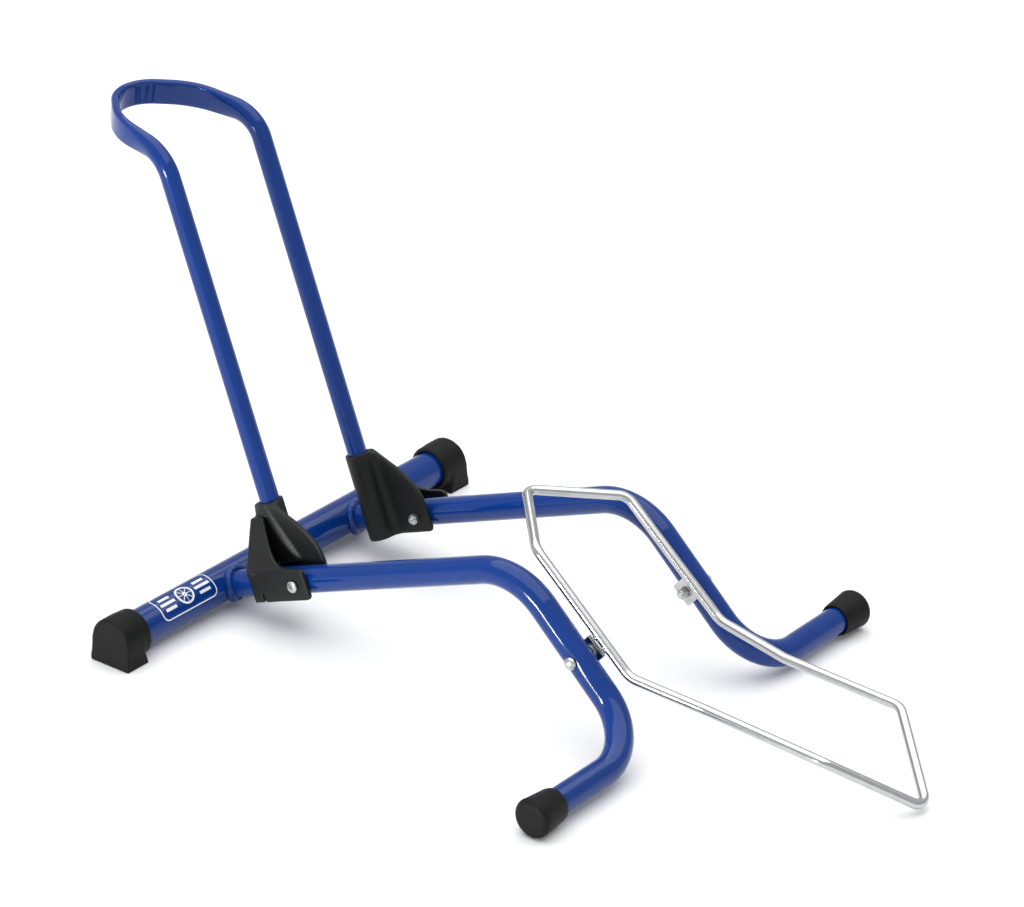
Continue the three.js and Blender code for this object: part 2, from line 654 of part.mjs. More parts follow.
// The left side is +Y. The right side is its mirror image.
for (const [side, mirror] of Object.entries({ left: 1, right: -1 })) {
  const half = new THREE.Group();
  half.scale.y = mirror;
  half.add(...sideOfFrame(side));
  stand.add(half);
  const halfHoop = new THREE.Group();
  halfHoop.scale.y = mirror;
  halfHoop.add(piece(`hoop_bracket_${side}`, bracket(), BLACK_PLASTIC));
  foldingHoop.add(halfHoop);
}

// The origin is on the floor, under the middle of the stand.
const extent = new THREE.Box3().setFromObject(stand, true);
stand.position.x = -(extent.min.x + extent.max.x) / 2;

const part = new THREE.Group();
part.add(stand);

export default part;
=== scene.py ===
"""Folding floor stand for a bicycle wheel: the looks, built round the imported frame."""

import json
import math

import bmesh
import bpy
from mathutils import Matrix, Quaternion, Vector, noise


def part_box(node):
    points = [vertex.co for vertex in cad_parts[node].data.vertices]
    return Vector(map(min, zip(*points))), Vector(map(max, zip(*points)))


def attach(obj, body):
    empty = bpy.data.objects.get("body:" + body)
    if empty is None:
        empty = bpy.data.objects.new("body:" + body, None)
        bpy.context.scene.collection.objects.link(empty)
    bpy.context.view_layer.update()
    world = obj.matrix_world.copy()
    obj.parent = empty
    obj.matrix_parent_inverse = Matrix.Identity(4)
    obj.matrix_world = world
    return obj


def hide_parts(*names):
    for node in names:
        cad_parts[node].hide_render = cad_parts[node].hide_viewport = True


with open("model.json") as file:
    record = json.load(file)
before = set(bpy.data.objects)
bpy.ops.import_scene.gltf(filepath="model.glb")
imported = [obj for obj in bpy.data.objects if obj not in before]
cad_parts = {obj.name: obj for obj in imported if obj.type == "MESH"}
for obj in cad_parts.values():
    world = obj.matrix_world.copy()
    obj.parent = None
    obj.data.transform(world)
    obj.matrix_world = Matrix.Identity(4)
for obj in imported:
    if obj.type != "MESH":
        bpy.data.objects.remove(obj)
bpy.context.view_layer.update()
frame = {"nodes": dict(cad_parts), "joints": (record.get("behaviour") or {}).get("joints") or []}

MM = 0.001
SIDES = {"left": 1, "right": -1}
X_AXIS, Y_AXIS, Z_AXIS = Vector((1, 0, 0)), Vector((0, 1, 0)), Vector((0, 0, 1))

# Sizes in millimetres. X is counted from the crossbar's axis.
CROSSBAR_R = 15.0
CROSSBAR_Z = 19.3

SIDE_R = 11.0
SIDE_Y = 74.6
SIDE_RISE = math.radians(20.6)
SIDE_START_X, SIDE_START_Z = 10.0, 16.6
SHOULDER_X, SHOULDER_BEND_R = 297.0, 57.0
SHOULDER_Z = SIDE_START_Z + SHOULDER_X * math.tan(SIDE_RISE)
FRONT_X, FRONT_Z, FRONT_BEND_R = 415.0, 15.7, 47.0
PINCH_REACH, PINCH_DEPTH, PINCH_WIDENING = 9.5, 0.075, 0.03

# The hoop, in its own upright frame: Z runs up the uprights from the pivot.
HOOP_R = 8.0
HOOP_Y = 53.4
HOOP_BEHIND = 36.3
HOOP_START = -8.0
HOOP_KNEE_R = 32.0
HOOP_TURN = math.radians(62.5)
HOOP_CORNER_REACH, HOOP_CORNER_Y, HOOP_CORNER_R = 58.0, 45.0, 58.0
HOOP_TIP_REACH, HOOP_TIP_R = 104.5, 34.0
HOOP_KNEE = Vector((-HOOP_BEHIND, 0, 347.0))
HOOP_TOP = Vector((-math.sin(HOOP_TURN), 0, math.cos(HOOP_TURN)))
BAND_HALF_HEIGHT = 10.74
BAND_HALF_THICKNESS = 3.2
# Shares of the corner's reach between which the round tube turns into a band.
PRESSED_FROM, PRESSED_TO = -0.3, 1.05

WIRE_R = 4.0
# Corners of the cradle's wire: X, distance to the side, Z, bend radius.
CRADLE = {
    "rear_tip": (247, 0, 149, 9),
    "rear_side": (301, 56.5, 138, 14),
    "knee": (391, 57.2, 59, 20),
    "waist": (456, 50.5, 51.5, 30),
    "front_side": (561, 51.5, 46, 13),
    "front_tip": (621, 0, 4, 9),
}

bar_low, bar_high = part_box("crossbar")
CROSSBAR_X = (bar_low.x + bar_high.x) / 2
joint_at = {j["name"]: Vector(j["pos_m"]) for j in frame["joints"]}
HOOP_PIVOT = joint_at["hoop_fold"]
CRADLE_PIVOT = joint_at["cradle_rock"]


def at(x, y, z):
    """A point of the stand, from millimetres."""
    return Vector((CROSSBAR_X + x * MM, y * MM, z * MM))


def in_mid_plane(v):
    """Drops the sideways part of a vector."""
    return Vector((v.x, 0, v.z))


def inner_and_outer(node):
    """How far a node's two ends lie from the middle plane, in millimetres."""
    low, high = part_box(node)
    return sorted((abs(low.y) / MM, abs(high.y) / MM))


# ---- Meshes ----------------------------------------------------------------


def new_object(name, verts, faces, smooth=True):
    mesh = bpy.data.meshes.new(name)
    mesh.from_pydata([tuple(v) for v in verts], [], faces)
    mesh.validate()
    obj = bpy.data.objects.new(name, mesh)
    bpy.context.scene.collection.objects.link(obj)
    face_outwards(mesh)
    if smooth:
        mesh.shade_smooth()
    return obj


def face_outwards(mesh):
    bm = bmesh.new()
    bm.from_mesh(mesh)
    bmesh.ops.recalc_face_normals(bm, faces=bm.faces)
    bm.to_mesh(mesh)
    bm.free()


def merge_points(mesh, distance):
    """Joins points that lie closer together than this, in metres."""
    bm = bmesh.new()
    bm.from_mesh(mesh)
    bmesh.ops.remove_doubles(bm, verts=bm.verts, dist=distance)
    bm.to_mesh(mesh)
    bm.free()


def baked(obj):
    """Applies the object's modifiers."""
    graph = bpy.context.evaluated_depsgraph_get()
    mesh = bpy.data.meshes.new_from_object(obj.evaluated_get(graph))
    obj.modifiers.clear()
    obj.data = mesh
    return obj


def sharp_edges(obj, degrees):
    """Smooth shading that stops at edges sharper than this."""
    obj.data.shade_smooth()
    obj.data.set_sharp_from_angle(angle=math.radians(degrees))
    return obj


def joined(name, objects):
    """One object with the geometry of all of them."""
    verts, faces = [], []
    for obj in objects:
        start = len(verts)
        verts += [obj.matrix_world @ v.co for v in obj.data.vertices]
        faces += [[start + i for i in p.vertices] for p in obj.data.polygons]
        bpy.data.objects.remove(obj)
    return new_object(name, verts, faces)


def ring_faces(rings, around, closed=False):
    """Quads between rings of points, each ring to the next."""
    faces = []
    for i in range(rings if closed else rings - 1):
        j = (i + 1) % rings
        for k in range(around):
            m = (k + 1) % around
            faces.append([i * around + k, i * around + m, j * around + m, j * around + k])
    return faces


def end_faces(rings, around):
    """The faces that close the first and the last ring."""
    return [list(range(around))[::-1], [(rings - 1) * around + k for k in range(around)]]


def bend_stations(a, b, c, radius, degrees):
    """Points and tangents round the corner b between a and c."""
    into, out = (b - a).normalized(), (c - b).normalized()
    turn = into.angle(out)
    start = b - into * radius * math.tan(turn / 2)
    inward = (out - into * out.dot(into)).normalized()
    steps = max(3, math.ceil(math.degrees(turn) / degrees))
    found = []
    for k in range(steps + 1):
        t = turn * k / steps
        point = start + into * radius * math.sin(t) + inward * radius * (1 - math.cos(t))
        found.append((point, into * math.cos(t) + inward * math.sin(t)))
    return found


def bent_path(corners, closed=False, degrees=3.0, spacing=4.0 * MM):
    """Stations along straight runs joined by round bends. A corner is (point, radius)."""
    count = len(corners)
    bends = []
    for i, (point, radius) in enumerate(corners):
        if not closed and i in (0, count - 1):
            other = corners[1][0] if i == 0 else corners[-2][0]
            tangent = (other - point) if i == 0 else (point - other)
            bends.append([(point, tangent.normalized())])
            continue
        before, after = corners[i - 1][0], corners[(i + 1) % count][0]
        bends.append(bend_stations(before, point, after, radius, degrees))
    stations = []
    for i, bend in enumerate(bends):
        stations += bend
        if i == len(bends) - 1 and not closed:
            break
        (p, _), (q, _) = bend[-1], bends[(i + 1) % count][0]
        pieces = max(1, round((q - p).length / spacing))
        along = (q - p).normalized()
        stations += [(p.lerp(q, k / pieces), along) for k in range(1, pieces)]
    return stations


def carried_frames(stations, first_side, closed=False):
    """Two axes across the path at each station, turning with it and no more."""
    side = (first_side - stations[0][1] * first_side.dot(stations[0][1])).normalized()
    sides = [side]
    for (_, before), (_, after) in zip(stations, stations[1:]):
        side = before.rotation_difference(after) @ side
        side = (side - after * side.dot(after)).normalized()
        sides.append(side)
    twist = 0.0
    if closed:
        last, first = stations[-1][1], stations[0][1]
        back = last.rotation_difference(first) @ side
        twist = math.atan2(back.cross(sides[0]).dot(first), back.dot(sides[0]))
    frames = []
    for i, (point, tangent) in enumerate(stations):
        turned = Quaternion(tangent, twist * i / len(stations)) @ sides[i]
        frames.append((point, tangent, turned, tangent.cross(turned)))
    return frames


def sweep(name, frames, section, around, closed=False):
    """A surface through rings. section(i, angle) gives the two offsets of a ring's point."""
    verts = []
    for i, (point, _, a, b) in enumerate(frames):
        for k in range(around):
            u, v = section(i, 2 * math.pi * k / around)
            verts.append(point + a * u + b * v)
    faces = ring_faces(len(frames), around, closed)
    if not closed:
        faces += end_faces(len(frames), around)
    return sharp_edges(new_object(name, verts, faces), 50)


def turned_points(profile, centre, axis, around):
    """Rings of points: each (radius, height) pair turned about the axis."""
    turn = Z_AXIS.rotation_difference(axis)
    verts = []
    for radius, height in profile:
        for k in range(around):
            a = 2 * math.pi * k / around
            local = Vector((radius * math.cos(a), radius * math.sin(a), height)) * MM
            verts.append(centre + turn @ local)
    return verts


def lathe(name, profile, centre, axis, around):
    """Turns a profile about an axis. It starts and ends on the axis."""
    rings = len(profile)
    verts = turned_points(profile, centre, axis, around)
    obj = new_object(name, verts, ring_faces(rings, around) + end_faces(rings, around))
    merge_points(obj.data, 1e-7)
    return sharp_edges(obj, 32)


def ring_lathe(name, profile, centre, axis, around=48):
    """Turns a closed profile that stays clear of the axis."""
    verts = turned_points(profile, centre, axis, around)
    return sharp_edges(new_object(name, verts, ring_faces(len(profile), around, closed=True)), 32)


def arc(cx, cy, radius, start, end, steps):
    """Points of a round edge from one angle to another, in degrees."""
    turns = [math.radians(start + (end - start) * k / steps) for k in range(steps + 1)]
    return [(cx + radius * math.cos(t), cy + radius * math.sin(t)) for t in turns]


def cut(obj, tool):
    """Takes the tool's shape out of the object, and the tool away."""
    m = obj.modifiers.new("cut", "BOOLEAN")
    m.object = tool
    m.operation = "DIFFERENCE"
    m.solver = "EXACT"
    baked(obj)
    bpy.data.objects.remove(tool)


def rounded(obj, width):
    """Rounds every edge that turns by more than 32 degrees."""
    m = obj.modifiers.new("rounded", "BEVEL")
    m.width = width * MM
    m.segments = 3
    m.limit_method = "ANGLE"
    m.angle_limit = math.radians(32)
    baked(obj)
    return sharp_edges(obj, 60)


# ---- Materials -------------------------------------------------------------


class Nodes:
    """A small helper that adds nodes to one material."""

    def __init__(self, name):
        self.material = bpy.data.materials.new(name)
        self.material.use_nodes = True
        self.tree = self.material.node_tree
        self.shader = self.tree.nodes["Principled BSDF"]
        self.place = self.tree.nodes.new("ShaderNodeTexCoord").outputs["Object"]
        self.normal = None

    def link(self, out, into):
        self.tree.links.new(out, into)

    def noise(self, scale, detail, roughness=0.5):
        node = self.tree.nodes.new("ShaderNodeTexNoise")
        node.inputs["Scale"].default_value = scale
        node.inputs["Detail"].default_value = detail
        node.inputs["Roughness"].default_value = roughness
        self.link(self.place, node.inputs["Vector"])
        return node.outputs["Fac"]

    def roughness(self, source, low_value, high_value, full=0.7):
        """Roughness between two values, as a noise goes from 0.3 to full."""
        node = self.tree.nodes.new("ShaderNodeMapRange")
        node.inputs["From Min"].default_value = 0.3
        node.inputs["From Max"].default_value = full
        node.inputs["To Min"].default_value = low_value
        node.inputs["To Max"].default_value = high_value
        self.link(source, node.inputs["Value"])
        self.link(node.outputs["Result"], self.shader.inputs["Roughness"])

    def colour(self, source, low_colour, high_colour, full=0.7):
        """A base colour between two colours, as a noise goes from 0.3 to full."""
        node = self.tree.nodes.new("ShaderNodeValToRGB")
        low, high = node.color_ramp.elements
        low.position, low.color = 0.3, (*low_colour, 1)
        high.position, high.color = full, (*high_colour, 1)
        self.link(source, node.inputs["Fac"])
        self.link(node.outputs["Color"], self.shader.inputs["Base Color"])

    def bump(self, source, strength, distance):
        """Each bump is laid over the one before it."""
        node = self.tree.nodes.new("ShaderNodeBump")
        node.inputs["Strength"].default_value = strength
        node.inputs["Distance"].default_value = distance
        self.link(source, node.inputs["Height"])
        if self.normal is not None:
            self.link(self.normal, node.inputs["Normal"])
        self.normal = node.outputs["Normal"]
        self.link(self.normal, self.shader.inputs["Normal"])

    def set(self, **values):
        for key, value in values.items():
            self.shader.inputs[key.replace("_", " ")].default_value = value


def blue_paint():
    n = Nodes("blue_paint")
    n.colour(n.noise(30, 4), (0.0013, 0.0280, 0.172), (0.0017, 0.0310, 0.190))
    n.roughness(n.noise(160, 4), 0.2, 0.26)
    n.bump(n.noise(60, 1), 0.12, 0.0003)
    n.bump(n.noise(420, 2), 0.03, 0.00006)
    n.set(Coat_Weight=0.5, Coat_Roughness=0.05, Specular_IOR_Level=0.08)
    return n.material


def black_plastic():
    n = Nodes("black_plastic")
    n.colour(n.noise(60, 4), (0.0064, 0.0070, 0.0066), (0.0081, 0.0088, 0.0083))
    n.roughness(n.noise(420, 4), 0.4, 0.47)
    n.bump(n.noise(2600, 3), 0.12, 0.00005)
    n.bump(n.noise(90, 2), 0.1, 0.0003)
    n.set(Specular_IOR_Level=0.27)
    return n.material


def black_rubber():
    n = Nodes("black_rubber")
    n.colour(n.noise(75, 6, 0.7), (0.0052, 0.0055, 0.005), (0.0086, 0.009, 0.0084), full=0.72)
    n.roughness(n.noise(300, 4), 0.46, 0.6)
    n.bump(n.noise(1700, 5), 0.3, 0.00012)
    n.bump(n.noise(120, 3), 0.18, 0.0005)
    n.set(Specular_IOR_Level=0.13)
    return n.material


def chrome():
    n = Nodes("chrome_wire")
    n.colour(n.noise(120, 4), (0.50, 0.505, 0.505), (0.57, 0.575, 0.57))
    n.roughness(n.noise(260, 4), 0.17, 0.24, full=0.75)
    n.bump(n.noise(110, 1), 0.08, 0.0002)
    n.set(Metallic=1.0)
    return n.material


def zinc():
    n = Nodes("zinc_steel")
    n.colour(n.noise(900, 5), (0.47, 0.49, 0.475), (0.62, 0.64, 0.63))
    n.roughness(n.noise(2200, 4), 0.24, 0.42)
    n.bump(n.noise(1800, 3), 0.25, 0.00008)
    n.set(Metallic=1.0)
    return n.material


def decal_film():
    n = Nodes("decal_film")
    n.colour(n.noise(150, 3), (0.72, 0.74, 0.78), (0.8, 0.82, 0.85))
    n.roughness(n.noise(500, 3), 0.26, 0.36)
    n.bump(n.noise(1300, 2), 0.08, 0.00005)
    n.set(Coat_Weight=0.3, Coat_Roughness=0.08)
    return n.material


def pale_floor():
    n = Nodes("pale_floor")
    n.colour(n.noise(1.2, 2), (0.90, 0.90, 0.90), (0.915, 0.915, 0.915))
    n.set(Roughness=0.8, Specular_IOR_Level=0.1)
    return n.material


PAINT = blue_paint()
PLASTIC = black_plastic()
RUBBER = black_rubber()
CHROME = chrome()
ZINC = zinc()
FILM = decal_film()


def finish_piece(obj, material, body, *stands_for):
    """Gives a new piece its material, its body and the CAD nodes it stands for."""
    obj.data.materials.clear()
    obj.data.materials.append(material)
    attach(obj, body)
    if stands_for:
        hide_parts(*stands_for)
    return obj


# ---- Frame tubes -----------------------------------------------------------


def crossbar():
    half = Y_AXIS * (bar_high.y - bar_low.y) / 2
    middle = at(0, 0, CROSSBAR_Z)
    radius = CROSSBAR_R * MM
    frames = carried_frames(bent_path([(middle - half, 0), (middle + half, 0)]), X_AXIS)
    tube = sweep("crossbar_tube", frames, lambda i, a: (radius * math.cos(a), radius * math.sin(a)), 64)
    return finish_piece(tube, PAINT, "frame", "crossbar")


def side_tube(side, sign):
    """The tube is pinched a little where the cradle's bolt pulls it against the washer."""
    end_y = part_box(f"side_tube_{side}")[0 if sign < 0 else 1].y / MM
    start_z = SIDE_START_Z + SIDE_START_X * math.tan(SIDE_RISE)
    corners = [
        (at(SIDE_START_X, sign * SIDE_Y, start_z), 0),
        (at(SHOULDER_X, sign * SIDE_Y, SHOULDER_Z), SHOULDER_BEND_R * MM),
        (at(FRONT_X, sign * SIDE_Y, FRONT_Z), FRONT_BEND_R * MM),
        (at(FRONT_X, end_y, FRONT_Z), 0),
    ]
    frames = carried_frames(bent_path(corners, degrees=2.5, spacing=2.5 * MM), Y_AXIS)
    bolt = CRADLE_PIVOT + Y_AXIS * sign * SIDE_Y * MM

    def section(i, a):
        near = math.exp(-(((frames[i][0] - bolt).length / (PINCH_REACH * MM)) ** 2))
        across = math.cos(a)
        squeeze = 1 - PINCH_DEPTH * near * abs(across) ** 1.5
        widen = 1 + PINCH_WIDENING * near
        return SIDE_R * MM * across * squeeze, SIDE_R * MM * math.sin(a) * widen

    tube = sweep(f"side_tube_{side}_bent", frames, section, 56)
    return finish_piece(tube, PAINT, "frame", f"side_tube_{side}")


WELD_R = 4.1
WELD_RIPPLES, WELD_RIPPLE_DEPTH, WELD_LUMP_DEPTH = 19, 0.09, 0.45
WELD_FORWARD, WELD_OUTWARD = 0.25, 0.1


def weld_bead(side, sign):
    """A painted fillet with weld ripples, all round the side tube on the crossbar."""
    start = at(0, sign * SIDE_Y, SIDE_START_Z)
    along = Vector((math.cos(SIDE_RISE), 0, math.sin(SIDE_RISE)))
    up = Vector((-math.sin(SIDE_RISE), 0, math.cos(SIDE_RISE)))
    bar = at(0, 0, CROSSBAR_Z)
    count, around = 132, 20
    verts = []
    for i in range(count):
        phi = 2 * math.pi * i / count
        radial = up * math.cos(phi) + Y_AXIS * math.sin(phi)
        edge = start + radial * SIDE_R * MM
        # The line along the side tube's skin meets the crossbar at the root.
        offset = in_mid_plane(edge - bar)
        b = offset.dot(along)
        c = offset.length_squared - (CROSSBAR_R * MM) ** 2
        root = edge + along * (-b + math.sqrt(max(b * b - c, 0)))
        normal = in_mid_plane(root - bar).normalized()
        middle = root + (along * WELD_FORWARD + normal * WELD_OUTWARD) * MM
        ripple = WELD_RIPPLE_DEPTH * math.sin(phi * WELD_RIPPLES + 0.8 * math.sin(3 * phi))
        lumps = WELD_LUMP_DEPTH * noise.noise(radial * 2.3 + Vector((sign, 3, 1)))
        radius = (WELD_R + ripple + lumps) * MM
        for k in range(around):
            a = 2 * math.pi * k / around
            verts.append(middle + (radial * math.cos(a) + along * math.sin(a)) * radius)
    bead = new_object(f"side_tube_weld_{side}_bead", verts, ring_faces(count, around, closed=True))
    return finish_piece(bead, PAINT, "frame", f"side_tube_weld_{side}")


# ---- Hoop ------------------------------------------------------------------


def pressed_flat(height, depth):
    """Where a point of the round section goes when the tube is pressed into a band."""
    flat = BAND_HALF_HEIGHT - BAND_HALF_THICKNESS
    girth = HOOP_R * math.atan2(abs(depth), abs(height))
    edge_girth = BAND_HALF_THICKNESS * math.pi / 2
    if girth < edge_girth:
        a = flat + BAND_HALF_THICKNESS * math.cos(girth / BAND_HALF_THICKNESS)
        b = BAND_HALF_THICKNESS * math.sin(girth / BAND_HALF_THICKNESS)
    else:
        a = flat - (girth - edge_girth)
        b = BAND_HALF_THICKNESS
    return math.copysign(max(a, 0), height), math.copysign(b, depth)


def pressed_share(point):
    """How far the tube is pressed there: 0 on the uprights, 1 round the tip."""
    if point.z <= HOOP_KNEE.z - HOOP_KNEE_R:
        return 0
    reach = (point - HOOP_KNEE).dot(HOOP_TOP) / HOOP_CORNER_REACH
    t = min(max((reach - PRESSED_FROM) / (PRESSED_TO - PRESSED_FROM), 0), 1)
    return t * t * (3 - 2 * t)


def hoop():
    turn = Matrix.Rotation(-SIDE_RISE, 3, "Y")

    def on_top(reach, y, radius):
        point = HOOP_KNEE + HOOP_TOP * reach
        return Vector((point.x, y, point.z)), radius

    def half(sign):
        return [
            (Vector((-HOOP_BEHIND, sign * HOOP_Y, HOOP_START)), 0),
            (Vector((-HOOP_BEHIND, sign * HOOP_Y, HOOP_KNEE.z)), HOOP_KNEE_R),
            on_top(HOOP_CORNER_REACH, sign * HOOP_CORNER_Y, HOOP_CORNER_R),
        ]

    corners = [*half(-1), on_top(HOOP_TIP_REACH, 0, HOOP_TIP_R), *half(1)[::-1]]
    across_top = (Z_AXIS - HOOP_TOP * HOOP_TOP.z).normalized()
    frames, shares = [], []
    for point, tangent in bent_path(corners, degrees=2.5, spacing=3.0):
        height = (across_top - tangent * across_top.dot(tangent)).normalized()
        depth = tangent.cross(height)
        frames.append((HOOP_PIVOT + turn @ (point * MM), turn @ tangent, turn @ height, turn @ depth))
        shares.append(pressed_share(point))

    def section(i, a):
        height, depth = HOOP_R * math.cos(a), HOOP_R * math.sin(a)
        flat_height, flat_depth = pressed_flat(height, depth)
        w = shares[i]
        return (height + (flat_height - height) * w) * MM, (depth + (flat_depth - depth) * w) * MM

    tube = sweep("hoop_tube", frames, section, 56)
    return finish_piece(tube, PAINT, "folding_hoop", "hoop")


# ---- Cradle ----------------------------------------------------------------

BEND_PINCH = 0.035
BEND_PINCH_R = 9.0

TAB_HALF_LENGTH = 9.8
TAB_BELOW, TAB_ABOVE = 6.6, 8.0
TAB_CORNER_R, TAB_EDGE_R = 2.2, 0.45
TAB_INNER_Y, TAB_OUTER_Y = 58.2, 61.2
TAB_BORE_R = 2.7
# Each weld's middle, counted along the wire from the bolt, and its length.
TAB_WELDS = ((-6.0, 7.0), (5.2, 8.0))
TAB_WELD_R, TAB_WELD_RIPPLE, TAB_WELD_LUMP = 2.15, 0.16, 0.2
TAB_WELD_OUT, TAB_WELD_DOWN = 2.6, 1.6


def cradle_corner(name, sign=1):
    x, y, z, r = CRADLE[name]
    return at(x, sign * y, z), r * MM


def bend_pinch(stations):
    """How much the wire is flattened at each station: 1 in a tight bend, 0 on a straight run."""
    count = len(stations)
    turns = []
    for i in range(count):
        (p, a), (q, b) = stations[i - 1], stations[(i + 1) % count]
        turns.append(min(a.angle(b) / max((q - p).length, 1e-6) * BEND_PINCH_R * MM, 1))
    return [sum(turns[(i + k) % count] for k in range(-2, 3)) / 5 for i in range(count)]


def cradle_wire():
    side = ["rear_side", "knee", "waist", "front_side"]
    corners = [cradle_corner("rear_tip"), *[cradle_corner(n) for n in side]]
    corners += [cradle_corner("front_tip"), *[cradle_corner(n, -1) for n in side[::-1]]]
    stations = bent_path(corners, closed=True, degrees=3, spacing=5 * MM)
    frames = carried_frames(stations, Z_AXIS, closed=True)
    tightness = bend_pinch(stations)

    def section(i, a):
        r = WIRE_R * MM * (1 - BEND_PINCH * tightness[i] * math.cos(a) ** 2)
        return r * math.cos(a), r * math.sin(a)

    wire = sweep("cradle_wire_loop", frames, section, 28, closed=True)
    return finish_piece(wire, CHROME, "cradle", "cradle_wire")


def wire_run(sign):
    """Where the wire passes the pivot, and its direction there."""
    rear, knee = cradle_corner("rear_side", sign)[0], cradle_corner("knee", sign)[0]
    along = (knee - rear).normalized()
    pivot = Vector((CRADLE_PIVOT.x, rear.y, CRADLE_PIVOT.z))
    return rear + along * (pivot - rear).dot(along), along


def cradle_tab(side, sign):
    """The flat lug, with a rounded edge, drilled for the bolt."""
    _, along = wire_run(sign)
    down = Y_AXIS.cross(along)
    down = down if down.z < 0 else -down
    half, low, r = TAB_HALF_LENGTH, -TAB_BELOW, TAB_CORNER_R
    outline = [(-half, TAB_ABOVE), *arc(r - half, low + r, r, 180, 270, 6)]
    outline += [*arc(half - r, low + r, r, 270, 360, 6), (half, TAB_ABOVE)]
    centre = in_mid_plane(CRADLE_PIVOT)
    verts = []
    for y in (TAB_INNER_Y, TAB_OUTER_Y):
        verts += [centre + along * u * MM - down * v * MM + Y_AXIS * sign * y * MM for u, v in outline]
    n = len(outline)
    faces = [list(range(n)), list(range(n, 2 * n))[::-1]]
    faces += [[i, (i + 1) % n, n + (i + 1) % n, n + i] for i in range(n)]
    tab = new_object(f"cradle_tab_{side}_lug", verts, faces)
    middle = centre + Y_AXIS * sign * (TAB_INNER_Y + TAB_OUTER_Y) / 2 * MM
    drill = [(0, -20), (TAB_BORE_R, -20), (TAB_BORE_R, 20), (0, 20)]
    cut(tab, lathe("hole", drill, middle, Y_AXIS, 40))
    rounded(tab, TAB_EDGE_R)
    return finish_piece(tab, CHROME, "cradle", f"cradle_tab_{side}")


def short_bead(centre, along, length, phase):
    """A short lumpy weld, thick in the middle and closed at both ends."""
    across = along.cross(Y_AXIS)
    rings, around = 25, 18
    verts = []
    for i in range(rings):
        t = -1 + 2 * i / (rings - 1)
        ripple = 1 + TAB_WELD_RIPPLE * math.sin(9 * t + phase)
        radius = TAB_WELD_R * math.sqrt(max(1 - t * t, 0)) * ripple
        for k in range(around):
            a = 2 * math.pi * k / around
            place = Vector((t * 3, math.cos(a) * 1.5, math.sin(a) * 1.5 + phase))
            lump = 1 + TAB_WELD_LUMP * noise.noise(place)
            offset = Y_AXIS * math.cos(a) + across * math.sin(a)
            verts.append(centre + along * t * length / 2 * MM + offset * radius * lump * MM)
    bead = new_object("bead", verts, ring_faces(rings, around))
    merge_points(bead.data, 1e-6)
    return bead


def tab_welds(side, sign):
    """Two short beads that hold the lug to the wire."""
    nearest, along = wire_run(sign)
    aside = Vector((0, sign * TAB_WELD_OUT, -TAB_WELD_DOWN)) * MM
    beads = []
    for place, length in TAB_WELDS:
        beads.append(short_bead(nearest + along * place * MM + aside, along, length, phase=place))
    return finish_piece(joined(f"cradle_tab_weld_{side}", beads), CHROME, "cradle")


# ---- Moulded pieces --------------------------------------------------------

FOOT_SHARP_TO, FOOT_SOFT_FROM = 5.0, 17.0

CAP_RIM_Y, CAP_END_Y = 178.5, 209.0
CAP_BORE_R, CAP_NECK_R, CAP_FLANK_R, CAP_END_R = 11.3, 13.6, 15.3, 15.7
CAP_SKIN, CAP_CROWN = 3.3, 0.5
CAP_LIP_R, CAP_EDGE_R = 0.9, 5.0


def cad_copy(name, node):
    """A copy of a CAD node's mesh with its split corners joined."""
    mesh = frame["nodes"][node].data.copy()
    obj = bpy.data.objects.new(name, mesh)
    bpy.context.scene.collection.objects.link(obj)
    merge_points(mesh, 2e-6)
    return obj


def moulded(name, node, voxel, relax):
    """A CAD node's shape as one even skin, its edges softened in this many steps."""
    obj = joined(name, [cad_copy("copy", node)])
    remesh = obj.modifiers.new("skin", "REMESH")
    remesh.mode = "VOXEL"
    remesh.voxel_size = voxel * MM
    remesh.adaptivity = 0
    smooth = obj.modifiers.new("relax", "SMOOTH")
    smooth.factor = 0.5
    smooth.iterations = relax
    baked(obj)
    obj.data.shade_smooth()
    return obj


def soften_above(obj, floor, full, iterations):
    """Rounds the edges off more and more between two heights, and wholly above the second."""
    group = obj.vertex_groups.new(name="soft")
    for v in obj.data.vertices:
        weight = (v.co.z / MM - floor) / (full - floor)
        group.add([v.index], min(max(weight, 0), 1), "REPLACE")
    smooth = obj.modifiers.new("soften", "SMOOTH")
    smooth.factor = 0.5
    smooth.iterations = iterations
    smooth.vertex_group = "soft"
    baked(obj)
    obj.data.shade_smooth()


def hoop_bracket(side):
    skin = moulded(f"hoop_bracket_{side}_shell", f"hoop_bracket_{side}", voxel=0.7, relax=16)
    return finish_piece(skin, PLASTIC, "folding_hoop", f"hoop_bracket_{side}")


def rear_foot(side):
    """The block's sole stays crisp, and its crown is soft."""
    skin = moulded(f"rear_foot_{side}_block", f"rear_foot_{side}", voxel=0.8, relax=7)
    soften_above(skin, FOOT_SHARP_TO, FOOT_SOFT_FROM, iterations=60)
    return finish_piece(skin, RUBBER, "frame", f"rear_foot_{side}")


